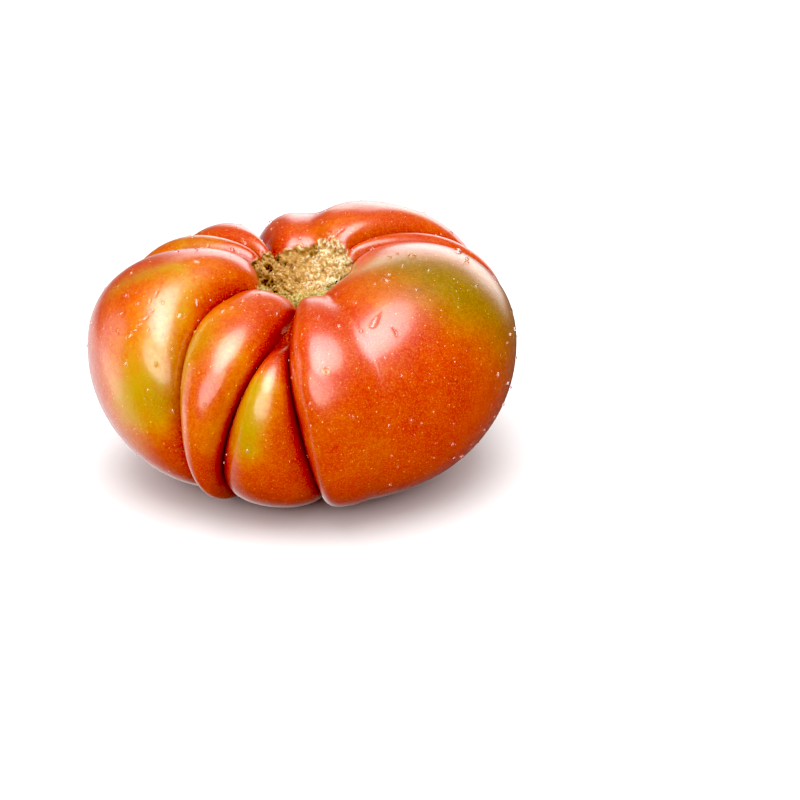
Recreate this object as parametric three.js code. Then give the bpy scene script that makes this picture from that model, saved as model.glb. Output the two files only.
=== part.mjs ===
// A ripe ribbed tomato: one solid that stands on its blossom end, with the stem scar up.
// Millimetres, +Z up. The origin is on the ground under the middle of the fruit.
//
// The skin is a closed sheet of lines and rows. Every line runs down the fruit from the middle of the
// stem scar, and the rows ring the fruit. A place along a line is its station: 0 is the middle of the
// scar, 4 is the blossom end, and the named stations lie between them.
import * as THREE from 'three';

const NOSE = 0.5; // where a lobe turns up out of the stem basin
const RIM = 1; // the highest line of the lobe
const WAIST = 2; // its widest line
const FOOT = 3; // the ring on which it stands
const BLOSSOM = 4;
const PRESSED_FROM = 2.93; // the foot is pressed flat between these two
const PRESSED_TO = 3.2;
const CREASE_TOP = 0.7; // the creases run straight to the middle above and below these two
const CREASE_BOTTOM = 3.3;

// Driving dimensions.
const SCAR_HEIGHT = 51.5; // the middle of the stem scar above the ground
const BLOSSOM_HEIGHT = 2; // how far the blossom end is drawn up into the fruit
const FOOT_RADIUS = 25;
const PRESSED_FLAT = 0.3; // how much of the foot its own weight presses flat
const CORE_RADIUS = 29; // the creases sink toward a ring inside the flesh
const CORE_HEIGHT = 35;

// How a lobe falls away into a crease: as a steep wall, or as the side of a shallow furrow.
const STEEP = 0.5;
const GENTLE = 1;
const FURROW = 1.2;

// The lobes, counter-clockwise from the left as seen from above. Each lobe starts at a crease.
//   crease     direction of that crease at the rim, the waist and the foot, in degrees from +X
//   depth      how far the crease is sunk at the nose, the rim, the waist and the foot
//   falls      how the lobe falls into the crease at its start and at its end
//   nose, rim  radius and height of the lobe's crest at these stations
//   reach      radius at the waist, and waist its height
//   shoulder   2 rounds the crest from rim to waist as an ellipse, more makes it squarer
//   bulge      2 rounds the lobe across as a circle, more makes it flatter with steeper sides
//   opens      stations between which a lobe that is pinched shut above swells to its full size
//   lines      mesh lines over the lobe
const LOBES = [
  {
    name: 'left', crease: [156, 163, 166], depth: [6, 7, 10, 2], falls: [STEEP, STEEP],
    nose: [12, 54], rim: [29, 65], reach: 61.5, waist: 37, shoulder: 2.35, bulge: 2.4, lines: 12,
  },
  {
    name: 'finger', crease: [216, 232, 226], depth: [3.5, 8, 11, 2], falls: [STEEP, STEEP],
    nose: [12, 53], rim: [24, 59], reach: 59, waist: 32, shoulder: 2.1, bulge: 2.1, lines: 9,
  },
  {
    name: 'wedge', crease: [260, 247, 234], depth: [2, 9, 10, 2], falls: [STEEP, STEEP],
    nose: [13, 53], rim: [25, 59], reach: 56.5, waist: 31, shoulder: 2, bulge: 2.1, lines: 8,
    opens: [1.1, 1.8],
  },
  {
    name: 'front', crease: [264, 268, 281], depth: [2, 9, 11, 2], falls: [STEEP, FURROW],
    nose: [14, 52], rim: [30, 59.5], reach: 60.5, waist: 36, shoulder: 2.2, bulge: 2.4, lines: 9,
  },
  {
    name: 'right', crease: [290, 292, 297], depth: [1, 3, 1.2, 0.8], falls: [FURROW, STEEP],
    nose: [13, 55], rim: [31, 66], reach: 61.5, waist: 37, shoulder: 2.2, bulge: 2.4, lines: 15,
  },
  {
    name: 'slim', crease: [27, 14, 6], depth: [5, 5.5, 8, 2], falls: [STEEP, STEEP],
    nose: [17, 58], rim: [32, 62.8], reach: 63.5, waist: 38, shoulder: 2.2, bulge: 2, lines: 8,
  },
  {
    name: 'back', crease: [40, 25, 16], depth: [4, 4, 7, 2], falls: [STEEP, FURROW],
    nose: [18, 59], rim: [33, 66.5], reach: 65, waist: 38, shoulder: 2.4, bulge: 3.2, lines: 12,
  },
  {
    name: 'middle', crease: [76, 74, 72], depth: [2, -0.5, 1, 0.8], falls: [FURROW, GENTLE],
    nose: [18, 57.5], rim: [31, 63], reach: 60.5, waist: 38, shoulder: 2.2, bulge: 1.6, lines: 9,
  },
  {
    name: 'rear', crease: [113, 105, 101], depth: [4, 9.5, 10, 2], falls: [STEEP, STEEP],
    nose: [17, 58], rim: [30, 62.5], reach: 59.5, waist: 37, shoulder: 2.2, bulge: 2.1, lines: 9,
  },
  {
    name: 'back_left', crease: [135, 140, 141], depth: [3, 4.5, 8, 2], falls: [STEEP, STEEP],
    nose: [16, 58], rim: [31, 62.5], reach: 59.5, waist: 37, shoulder: 2.2, bulge: 2.1, lines: 9,
  },
];

// Shallow dents. Across runs from -1 to 1 over the lobe, from its own crease to the next one.
const DENTS = [
  { lobe: 'left', across: -0.05, station: 1.3, width: 9, depth: 0.9 },
  { lobe: 'left', across: 0.3, station: 1.62, width: 6, depth: 0.5 },
  { lobe: 'right', across: -0.35, station: 1.55, width: 12, depth: 0.8 },
];

// Slow swellings of the skin, as waves round the fruit that drift from station to station.
const SWELLINGS = [
  { height: 0.35, waves: 5, drift: 2.2, start: 0 },
  { height: 0.35, waves: 3, drift: -3.1, start: 1 },
];

// The corky scar: ridges that fan out from its middle and bend a little, with crumbs across them.
const RIDGES = { height: 0.55, waves: 17, bends: 3, bend: 2 };
const CRUMBS = { height: 0.4, waves: 11, drift: -40 };

// The rows of the mesh: each stretch of stations has its own number of steps. Over the pressed foot the
// rows lie exactly on the ground.
const ROW_STRETCHES = [
  { from: 0, to: NOSE, steps: 7 },
  { from: NOSE, to: RIM, steps: 5 },
  { from: RIM, to: WAIST, steps: 14 },
  { from: WAIST, to: PRESSED_FROM, steps: 11 },
  { from: PRESSED_FROM, to: PRESSED_TO, steps: 3 },
  { from: PRESSED_TO, to: BLOSSOM, steps: 6 },
];

const lerp = THREE.MathUtils.lerp;
const ease = (from, to, value) => THREE.MathUtils.smoothstep(value, from, to);
const part = (from, to, value) => THREE.MathUtils.clamp((value - from) / (to - from), 0, 1);

// The crest of a lobe, as radius and height at a station.
function crest(lobe, station) {
  const [noseRadius, noseHeight] = lobe.nose;
  const [rimRadius, rimHeight] = lobe.rim;
  if (station <= NOSE) {
    const t = part(0, NOSE, station);
    return [noseRadius * t, lerp(SCAR_HEIGHT, noseHeight, t * t)];
  }
  if (station <= RIM) {
    const t = part(NOSE, RIM, station) * Math.PI / 2;
    return [lerp(rimRadius, noseRadius, Math.cos(t)), lerp(noseHeight, rimHeight, Math.sin(t))];
  }
  if (station <= WAIST) {
    const t = part(RIM, WAIST, station) * Math.PI / 2;
    const out = Math.sin(t) ** (2 / lobe.shoulder);
    const up = Math.max(Math.cos(t), 0) ** (2 / lobe.shoulder);
    return [lerp(rimRadius, lobe.reach, out), lerp(lobe.waist, rimHeight, up)];
  }
  if (station <= FOOT) {
    const t = part(WAIST, FOOT, station) * Math.PI / 2;
    return [lerp(FOOT_RADIUS, lobe.reach, Math.cos(t)), lerp(lobe.waist, -PRESSED_FLAT, Math.sin(t))];
  }
  const t = part(FOOT, BLOSSOM, station);
  return [FOOT_RADIUS * (1 - t), lerp(-PRESSED_FLAT, BLOSSOM_HEIGHT, ease(0, 1, t))];
}

// How far the crease at the start of a lobe is sunk. Over the scar it fades out, so its floor isn't pleated.
function creaseDepth(lobe, station) {
  const [nose, rim, waist, foot] = lobe.depth;
  if (station <= NOSE) {
    return nose * part(0, NOSE, station) ** 3;
  }
  if (station <= RIM) {
    return lerp(nose, rim, part(NOSE, RIM, station));
  }
  if (station <= WAIST) {
    return lerp(rim, waist, part(RIM, WAIST, station));
  }
  if (station <= FOOT) {
    return lerp(waist, foot, part(WAIST, FOOT, station));
  }
  return lerp(foot, 0, part(FOOT, BLOSSOM, station));
}

// The bottom of the crease where a lobe starts: the mean of the two crests beside it, sunk to the core.
function creaseLine(before, lobe, station) {
  const [radiusBefore, heightBefore] = crest(before, station);
  const [radiusAfter, heightAfter] = crest(lobe, station);
  const radius = (radiusBefore + radiusAfter) / 2;
  const height = (heightBefore + heightAfter) / 2;
  const distance = Math.hypot(CORE_RADIUS - radius, CORE_HEIGHT - height);
  const sunk = creaseDepth(lobe, station) / distance;
  return [lerp(radius, CORE_RADIUS, sunk), lerp(height, CORE_HEIGHT, sunk)];
}

// The direction of a crease at a station, on a parabola through its rim, waist and foot.
function creaseDirection([rim, waist, foot], station) {
  const t = THREE.MathUtils.clamp(station, CREASE_TOP, CREASE_BOTTOM) - WAIST;
  return waist + (foot - rim) / 2 * t + ((rim + foot) / 2 - waist) * t * t;
}

// Each lobe ends at the crease of the next one. Directions only grow, so the last crease is past 360.
const FULL_TURN = 360;
const totalLines = LOBES.reduce((sum, lobe) => sum + lobe.lines, 0);
let linesBefore = 0;
let lastWaist = 0;
for (const lobe of LOBES) {
  while (lobe.crease[1] < lastWaist) {
    lobe.crease = lobe.crease.map((direction) => direction + FULL_TURN);
  }
  lastWaist = lobe.crease[1];
  lobe.firstLine = linesBefore;
  linesBefore += lobe.lines;
}
LOBES.forEach((lobe, index) => {
  const wraps = index === LOBES.length - 1 ? FULL_TURN : 0;
  lobe.before = LOBES.at(index - 1);
  lobe.next = LOBES[(index + 1) % LOBES.length];
  lobe.end = lobe.next.crease.map((direction) => direction + wraps);
});

// A point of the plain skin, as radius, height and turn in radians.
function plainSkin(lobe, across, station) {
  const share = (1 + across) / 2;
  const [startRadius, startHeight] = creaseLine(lobe.before, lobe, station);
  const [endRadius, endHeight] = creaseLine(lobe, lobe.next, station);
  const [crestRadius, crestHeight] = crest(lobe, station);
  const fall = across < 0 ? lobe.falls[0] : lobe.falls[1];
  const open = lobe.opens ? ease(lobe.opens[0], lobe.opens[1], station) : 1;
  const swell = open * Math.max(1 - Math.abs(across) ** lobe.bulge, 0) ** fall;
  const radius = lerp(lerp(startRadius, endRadius, share), crestRadius, swell);
  const height = lerp(lerp(startHeight, endHeight, share), crestHeight, swell);
  const direction = lerp(creaseDirection(lobe.crease, station), creaseDirection(lobe.end, station), share);

  // Near both ends the lines share the turn evenly, so no sliver forms where a lobe is narrow.
  const line = lobe.firstLine + lobe.lines * (0.5 + Math.asin(across) / Math.PI);
  const evenDirection = LOBES[0].crease[1] + FULL_TURN * line / totalLines;
  const evened = 1 - ease(0, NOSE, station) + ease(CREASE_BOTTOM, BLOSSOM, station);
  const turn = THREE.MathUtils.degToRad(lerp(direction, evenDirection, evened));
  return { radius, height, turn };
}

function toPoint({ radius, height, turn }) {
  return new THREE.Vector3(radius * Math.cos(turn), radius * Math.sin(turn), height);
}

// The middle of each dent, and the way in from there to the core.
const dents = DENTS.map(({ lobe, across, station, width, depth }) => {
  const skin = plainSkin(LOBES.find(({ name }) => name === lobe), across, station);
  const middle = toPoint(skin);
  const core = toPoint({ radius: CORE_RADIUS, height: CORE_HEIGHT, turn: skin.turn });
  return { middle, inward: core.sub(middle).normalize(), width, depth };
});

// How far the slow swellings lift the skin. They fade out over the scar and under the foot.
function swelling(turn, station) {
  const fade = Math.sin(Math.PI * part(0, FOOT, station)) ** 2;
  let lift = 0;
  for (const { height, waves, drift, start } of SWELLINGS) {
    lift += height * Math.sin(waves * turn + drift * station + start);
  }
  return fade * lift;
}

// How far the cork stands up. It is flat in the middle of the scar and at its edge.
function corkRelief(turn, station) {
  const fade = Math.sin(Math.PI * part(0, NOSE, station) ** 2);
  const ridges = RIDGES.height * Math.sin(RIDGES.waves * turn + RIDGES.bend * Math.sin(RIDGES.bends * turn));
  const crumbs = CRUMBS.height * Math.sin(CRUMBS.waves * turn + CRUMBS.drift * station);
  return fade * (ridges + crumbs);
}

// The finished skin, never below the ground.
function skinPoint(lobe, across, station) {
  const skin = plainSkin(lobe, across, station);
  const distance = Math.hypot(skin.radius - CORE_RADIUS, skin.height - CORE_HEIGHT);
  const grown = 1 + swelling(skin.turn, station) / distance;
  skin.radius = lerp(CORE_RADIUS, skin.radius, grown);
  skin.height = lerp(CORE_HEIGHT, skin.height, grown) + corkRelief(skin.turn, station);

  const point = toPoint(skin);
  for (const { middle, inward, width, depth } of dents) {
    const away = point.distanceTo(middle) / width;
    point.addScaledVector(inward, depth * Math.exp(-away * away));
  }
  point.z = Math.max(point.z, 0);
  return point;
}

// The closed mesh: one vertex at each end of the fruit and the rows between them.
function tomatoGeometry() {
  const stations = [];
  for (const { from, to, steps } of ROW_STRETCHES) {
    for (let step = 0; step < steps; step += 1) {
      stations.push(lerp(from, to, step / steps));
    }
  }
  stations.shift();

  const vertices = [new THREE.Vector3(0, 0, SCAR_HEIGHT)];
  for (const station of stations) {
    for (const lobe of LOBES) {
      for (let line = 0; line < lobe.lines; line += 1) {
        const across = Math.sin(Math.PI * (line / lobe.lines - 0.5));
        vertices.push(skinPoint(lobe, across, station));
      }
    }
  }
  const bottom = vertices.length;
  vertices.push(new THREE.Vector3(0, 0, BLOSSOM_HEIGHT));

  const faces = [];
  const at = (row, line) => 1 + row * totalLines + line % totalLines;
  const lastRow = stations.length - 1;
  for (let line = 0; line < totalLines; line += 1) {
    faces.push(0, at(0, line), at(0, line + 1));
    for (let row = 0; row < lastRow; row += 1) {
      faces.push(at(row, line), at(row + 1, line), at(row + 1, line + 1));
      faces.push(at(row, line), at(row + 1, line + 1), at(row, line + 1));
    }
    faces.push(at(lastRow, line), bottom, at(lastRow, line + 1));
  }

  const geometry = new THREE.BufferGeometry().setFromPoints(vertices);
  geometry.setIndex(faces);
  geometry.computeBoundingBox();
  const middle = geometry.boundingBox.getCenter(new THREE.Vector3());
  geometry.translate(-middle.x, -middle.y, -geometry.boundingBox.min.z);
  geometry.computeVertexNormals();
  return geometry;
}

const skin = new THREE.MeshStandardMaterial({ color: 0xd8391b, roughness: 0.3, metalness: 0 });
const tomato = new THREE.Mesh(tomatoGeometry(), skin);
tomato.name = 'tomato';

const model = new THREE.Group();
model.add(tomato);

export default model;
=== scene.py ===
# %% [markdown]
# A ribbed tomato, wet from washing
#
# This lesson dresses a plain solid of a tomato as the real fruit: glossy skin that ripens from olive
# green to red, a corky stem scar, golden specks, a scab and drops of water. The plain solid is loaded
# first, because all that follows lies in its frame: metres, +Z up, the fruit standing on z = 0.

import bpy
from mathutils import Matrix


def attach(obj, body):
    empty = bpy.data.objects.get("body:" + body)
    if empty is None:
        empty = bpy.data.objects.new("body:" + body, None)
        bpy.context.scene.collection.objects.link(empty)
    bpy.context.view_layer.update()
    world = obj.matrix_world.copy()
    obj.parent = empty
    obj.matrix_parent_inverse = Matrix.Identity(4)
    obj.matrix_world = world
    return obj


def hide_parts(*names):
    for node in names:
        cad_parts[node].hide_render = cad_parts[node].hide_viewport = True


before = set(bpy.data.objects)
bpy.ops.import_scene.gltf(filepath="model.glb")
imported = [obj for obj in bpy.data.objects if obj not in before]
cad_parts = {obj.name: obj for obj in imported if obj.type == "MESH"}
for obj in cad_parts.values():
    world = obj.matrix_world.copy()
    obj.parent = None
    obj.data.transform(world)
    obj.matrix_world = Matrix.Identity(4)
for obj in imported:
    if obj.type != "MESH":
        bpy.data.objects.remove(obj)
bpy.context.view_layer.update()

# %% [markdown]
# Units and chance
#
# A fruit is easier to think of in millimetres, so its formula uses them and the meshes are scaled to
# metres at the end. Every random draw comes from a seeded generator, so the scene is the same each run.
# Blender's noise module also needs a seed, because its noise vectors are shifted by the time otherwise.

# %% Shared tools
import math

import bpy
import numpy as np
from mathutils import Matrix, Vector, noise
from mathutils.bvhtree import BVHTree

MM = 0.001
SEED = 27
chance = np.random.default_rng(SEED)
noise.seed_set(SEED)


def share(start, end, value):
    """How far value has come from start to end, kept between 0 and 1."""
    return np.clip((value - start) / (end - start), 0, 1)


def ease(start, end, value):
    """Like share, but it starts and stops gently."""
    t = share(start, end, value)
    return t * t * (3 - 2 * t)


def mix(a, b, t):
    """The value that lies the share t of the way from a to b."""
    return a + (b - a) * t


def add_object(name, data):
    """An object in the scene that carries the data."""
    added = bpy.data.objects.new(name, data)
    bpy.context.collection.objects.link(added)
    return added


def add_mesh(name, vertices, faces):
    """A mesh object and its mesh."""
    mesh = bpy.data.meshes.new(name)
    mesh.from_pydata(vertices, [], faces)
    return add_object(name, mesh), mesh


# %% [markdown]
# The form of the fruit
#
# A ribbed tomato is a ring of lobes round a sunken stem scar. Sculpting it by hand would be quick but
# hard to correct, and a voxel model would lose the sharp creases. Here the skin is a formula instead.
# Lines run down the fruit from the scar to the blossom end, and a place along a line is its station: 0 is
# the middle of the scar, 0.5 the nose of a lobe at the scar's edge, 1 the rim, 2 the waist, 3 the foot
# that it stands on and 4 the blossom end.

# %% Stations and main sizes, in millimetres
NOSE = 0.5
RIM = 1
WAIST = 2
FOOT = 3
BLOSSOM = 4
CREASE_TOP = 0.7
CREASE_BOTTOM = 3.3

SCAR_HEIGHT = 51.5
BLOSSOM_HEIGHT = 2
FOOT_RADIUS = 25
PRESSED_FLAT = 0.3
CORE_RADIUS = 29
CORE_HEIGHT = 35

# %% [markdown]
# The lobes
#
# The lobes are listed counter-clockwise from the left as seen from above, and each starts at a crease.
# crease is the direction of that crease at the rim, waist and foot, in degrees from +X, and depth is how
# far it is sunk at the nose, rim, waist and foot. falls says whether the lobe meets its two creases in a
# steep wall or a gentle slope. nose and rim are radius and height of the crest. bulge makes the lobe
# flatter across, and shoulder makes its upper edge squarer. The wedge is pinched shut above and opens
# between two stations. lines is its share of the mesh. What a row leaves out is as usual. The loops after
# the list turn the directions so that they only grow round the ring, and tell each lobe its neighbours
# and where it ends. The front and right lobes are a little fuller than the plain solid's.

# %% Lobes
STEEP = 0.5
GENTLE = 1

USUAL = dict(falls=(STEEP, STEEP), waist=37, shoulder=2.2, bulge=2.1, lines=9)
LOBES = [
    dict(name="left", crease=(156, 163, 166), depth=(6, 7, 10, 2),
         nose=(12, 54), rim=(29, 65), reach=61.5, shoulder=2.35, bulge=2.4, lines=12),
    dict(name="finger", crease=(216, 232, 226), depth=(3.5, 8, 11, 2),
         nose=(12, 53), rim=(24, 59), reach=59, waist=32, shoulder=2.1),
    dict(name="wedge", crease=(260, 247, 234), depth=(2, 9, 10, 2),
         nose=(13, 53), rim=(25, 59), reach=56.5, waist=31, shoulder=2, lines=8, opens=(1.1, 1.8)),
    dict(name="front", crease=(264, 268, 281), depth=(2, 9, 11, 2), falls=(STEEP, GENTLE),
         nose=(14, 52), rim=(30, 59.5), reach=60.5, waist=36, bulge=2.8),
    dict(name="right", crease=(290, 292, 297), depth=(1, 3.6, 1.9, 0.2), falls=(GENTLE, STEEP),
         nose=(13, 55), rim=(31, 66), reach=61.5, bulge=2.4, lines=15),
    dict(name="slim", crease=(27, 14, 6), depth=(5, 5.5, 8, 2),
         nose=(17, 58), rim=(32, 62.8), reach=63.5, waist=38, bulge=2, lines=8),
    dict(name="back", crease=(40, 25, 16), depth=(4, 4, 7, 2), falls=(STEEP, GENTLE),
         nose=(18, 59), rim=(33, 66.5), reach=65, waist=38, shoulder=2.4, bulge=3.2, lines=12),
    dict(name="middle", crease=(76, 74, 72), depth=(2, -0.5, 1, 0.8), falls=(GENTLE, GENTLE),
         nose=(18, 57.5), rim=(31, 63), reach=60.5, waist=38, bulge=1.6),
    dict(name="rear", crease=(113, 105, 101), depth=(4, 9.5, 10, 2),
         nose=(17, 58), rim=(30, 62.5), reach=59.5),
    dict(name="back_left", crease=(135, 140, 141), depth=(3, 4.5, 8, 2),
         nose=(16, 58), rim=(31, 62.5), reach=59.5),
]
LOBES = [{**USUAL, **lobe} for lobe in LOBES]
FULL_TURN = 360
for before, lobe in zip(LOBES, LOBES[1:]):
    turns = math.ceil((before["crease"][1] - lobe["crease"][1]) / FULL_TURN)
    lobe["crease"] = tuple(way + FULL_TURN * turns for way in lobe["crease"])
for index, lobe in enumerate(LOBES):
    after = LOBES[(index + 1) % len(LOBES)]
    wraps = FULL_TURN if index == len(LOBES) - 1 else 0
    lobe["before"] = LOBES[index - 1]
    lobe["after"] = after
    lobe["end"] = tuple(way + wraps for way in after["crease"])
    lobe["first_line"] = sum(other["lines"] for other in LOBES[:index])
TOTAL_LINES = sum(lobe["lines"] for lobe in LOBES)
print(len(LOBES), "lobes")

# %% [markdown]
# Crests and creases
#
# The crest of a lobe is drawn with quarter ellipses from station to station. A crease is the mean of the
# crests on both sides, moved toward a ring inside the flesh, which is how a real crease forms: the skin
# is tied down there while the lobes swell.

# %% Crest and crease


def crest(lobe, station):
    """Radius and height of a lobe's crest."""
    nose_radius, nose_height = lobe["nose"]
    rim_radius, rim_height = lobe["rim"]
    basin = share(0, NOSE, station)
    lip = share(NOSE, RIM, station) * math.pi / 2
    shoulder = share(RIM, WAIST, station) * math.pi / 2
    belly = share(WAIST, FOOT, station) * math.pi / 2
    base = share(FOOT, BLOSSOM, station)
    power = 2 / lobe["shoulder"]
    stretches = [station <= end for end in (NOSE, RIM, WAIST, FOOT)]
    radius = np.select(stretches, [
        nose_radius * basin,
        mix(rim_radius, nose_radius, np.cos(lip)),
        mix(rim_radius, lobe["reach"], np.sin(shoulder) ** power),
        mix(FOOT_RADIUS, lobe["reach"], np.cos(belly)),
    ], FOOT_RADIUS * (1 - base))
    height = np.select(stretches, [
        mix(SCAR_HEIGHT, nose_height, basin ** 2),
        mix(nose_height, rim_height, np.sin(lip)),
        mix(lobe["waist"], rim_height, np.maximum(np.cos(shoulder), 0) ** power),
        mix(lobe["waist"], -PRESSED_FLAT, np.sin(belly)),
    ], mix(-PRESSED_FLAT, BLOSSOM_HEIGHT, ease(0, 1, base)))
    return radius, height


def crease_line(before, lobe, station):
    """Radius and height of the bottom of the crease where a lobe starts."""
    radius, height = np.mean([crest(before, station), crest(lobe, station)], axis=0)
    nose = lobe["depth"][0]
    depth = np.interp(station, [NOSE, RIM, WAIST, FOOT, BLOSSOM], [*lobe["depth"], 0])
    depth = np.where(station < NOSE, nose * share(0, NOSE, station) ** 3, depth)
    sunk = depth / np.hypot(CORE_RADIUS - radius, CORE_HEIGHT - height)
    return mix(radius, CORE_RADIUS, sunk), mix(height, CORE_HEIGHT, sunk)


def crease_way(crease, station):
    """Direction of a crease, on a parabola through its rim, waist and foot."""
    rim, waist, foot = crease
    t = np.clip(station, CREASE_TOP, CREASE_BOTTOM) - WAIST
    return waist + (foot - rim) / 2 * t + ((rim + foot) / 2 - waist) * t * t


# %% [markdown]
# The plain skin
#
# Across a lobe, from -1 at its own crease to 1 at the next, the skin rises from the crease to the crest
# as the side of a circle does. Near the scar and the blossom end the lines share the turn evenly, so
# that the mesh has no slivers there.

# %% Plain skin
SHALLOW = 1.5
DEEP = 6


def plain_skin(lobe, across, station):
    """Radius, height, turn in radians, and how deep in a crease the skin lies, from 0 to 1."""
    along = (1 + across) / 2
    start_radius, start_height = crease_line(lobe["before"], lobe, station)
    end_radius, end_height = crease_line(lobe, lobe["after"], station)
    crest_radius, crest_height = crest(lobe, station)
    fall = np.where(across < 0, lobe["falls"][0], lobe["falls"][1])
    swell = np.maximum(1 - np.abs(across) ** lobe["bulge"], 0) ** fall
    if "opens" in lobe:
        swell = swell * ease(*lobe["opens"], station)
    radius = mix(mix(start_radius, end_radius, along), crest_radius, swell)
    height = mix(mix(start_height, end_height, along), crest_height, swell)
    way = mix(crease_way(lobe["crease"], station), crease_way(lobe["end"], station), along)
    line = lobe["first_line"] + lobe["lines"] * (0.5 + np.arcsin(across) / math.pi)
    even_way = LOBES[0]["crease"][1] + FULL_TURN * line / TOTAL_LINES
    evened = 1 - ease(0, NOSE, station) + ease(CREASE_BOTTOM, BLOSSOM, station)
    start_depth = np.interp(station, [NOSE, RIM, WAIST, FOOT], lobe["depth"])
    end_depth = np.interp(station, [NOSE, RIM, WAIST, FOOT], lobe["after"]["depth"])
    deep = share(SHALLOW, DEEP, np.where(across < 0, start_depth, end_depth))
    return radius, height, np.radians(mix(way, even_way, evened)), (1 - swell) * deep


def to_points(radius, height, turn):
    """Points from radius, height and turn about the fruit's axis."""
    return np.stack([radius * np.cos(turn), radius * np.sin(turn), height], axis=-1)


# %% [markdown]
# Swellings, dents and cork
#
# No tomato is smooth. Slow waves and a few dents bend the highlights on the big lobes, and the scar is
# ridged cork. All of these are in the plain solid too, so they come from sums of sines that both can
# repeat, and not from a noise. Heights and widths are in millimetres.

# %% Relief
SWELLINGS = [
    dict(height=0.35, waves=5, drift=2.2, start=0),
    dict(height=0.35, waves=3, drift=-3.1, start=1),
]
RIDGES = dict(height=0.55, waves=17, bends=3, bend=2)
CRUMBS = dict(height=0.4, waves=11, drift=-40)
DENTS = [
    dict(lobe="left", across=-0.05, station=1.3, width=9, depth=0.9),
    dict(lobe="left", across=0.3, station=1.62, width=6, depth=0.5),
    dict(lobe="right", across=-0.35, station=1.55, width=12, depth=0.8),
]


def swelling(turn, station):
    """How far the slow waves lift the skin. They fade out at the scar and the foot."""
    fade = np.sin(math.pi * share(0, FOOT, station)) ** 2
    waves = [wave["height"] * np.sin(wave["waves"] * turn + wave["drift"] * station + wave["start"])
             for wave in SWELLINGS]
    return fade * sum(waves)


def cork_relief(turn, station):
    """Height of the large ridges and crumbs of the scar."""
    fade = np.sin(math.pi * share(0, NOSE, station) ** 2)
    bent = RIDGES["waves"] * turn + RIDGES["bend"] * np.sin(RIDGES["bends"] * turn)
    ridges = RIDGES["height"] * np.sin(bent)
    crumbs = CRUMBS["height"] * np.sin(CRUMBS["waves"] * turn + CRUMBS["drift"] * station)
    return fade * (ridges + crumbs)


def place(name, across, station):
    """The point of the plain skin at a place on a named lobe, and its turn."""
    lobe = next(lobe for lobe in LOBES if lobe["name"] == name)
    radius, height, turn, _ = plain_skin(lobe, np.float64(across), np.float64(station))
    return to_points(radius, height, turn), turn


def dent(points):
    """Push the points in at every dent."""
    for spot in DENTS:
        middle, turn = place(spot["lobe"], spot["across"], spot["station"])
        core = to_points(CORE_RADIUS, CORE_HEIGHT, turn)
        inward = (core - middle) / np.linalg.norm(core - middle)
        away = np.linalg.norm(points - middle, axis=-1, keepdims=True) / spot["width"]
        points = points + inward * spot["depth"] * np.exp(-away ** 2)
    return points


# %% [markdown]
# From formula to grid
#
# The formula is read on a fine grid: five lines for each line of the plain solid, and most rows where
# the cork and the rims need them. How deep in a crease each point lies is kept beside it. Between the
# back and middle lobes lies no crease but a soft furrow. The formula leaves a faint edge there, which
# would cut the highlights in two, so the lines near it are drawn toward the mean of their neighbours.

# %% Grid of points
FINE = 5
PRESSED_FROM = 2.93
PRESSED_TO = 3.2
ROW_STRETCHES = [
    (0, NOSE, 75),
    (NOSE, RIM, 40),
    (RIM, WAIST, 96),
    (WAIST, PRESSED_FROM, 66),
    (PRESSED_FROM, PRESSED_TO, 8),
    (PRESSED_TO, BLOSSOM, 36),
]
SOFT_LOBE = "middle"
SOFT_REACH = 14
SOFT_ROUNDS = 60

stations = np.concatenate([np.linspace(start, end, steps, endpoint=False)
                           for start, end, steps in ROW_STRETCHES])[1:]
columns = []
for lobe in LOBES:
    fine_lines = lobe["lines"] * FINE
    for line in range(fine_lines):
        across = np.full_like(stations, math.sin(math.pi * (line / fine_lines - 0.5)))
        radius, height, turn, sunk = plain_skin(lobe, across, stations)
        distance = np.hypot(radius - CORE_RADIUS, height - CORE_HEIGHT)
        grown = 1 + swelling(turn, stations) / distance
        radius = mix(CORE_RADIUS, radius, grown)
        height = mix(CORE_HEIGHT, height, grown) + cork_relief(turn, stations)
        columns.append(np.column_stack([to_points(radius, height, turn), turn, sunk]))
grid = np.stack(columns, axis=1)
points = dent(grid[..., :3])
turns_of = grid[..., 3]
sunk_of = grid[..., 4]
rows, lines = sunk_of.shape

soft_line = next(lobe["first_line"] for lobe in LOBES if lobe["name"] == SOFT_LOBE) * FINE
from_crease = np.abs(np.arange(lines) - soft_line)
softness = np.maximum(1 - from_crease / SOFT_REACH, 0) * ease(NOSE, RIM, stations)[:, None]
for _ in range(SOFT_ROUNDS):
    between = (np.roll(points, 1, axis=1) + np.roll(points, -1, axis=1)) / 2
    points = mix(points, between, softness[..., None])
print("skin grid has", rows, "rows and", lines, "lines")
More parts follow.
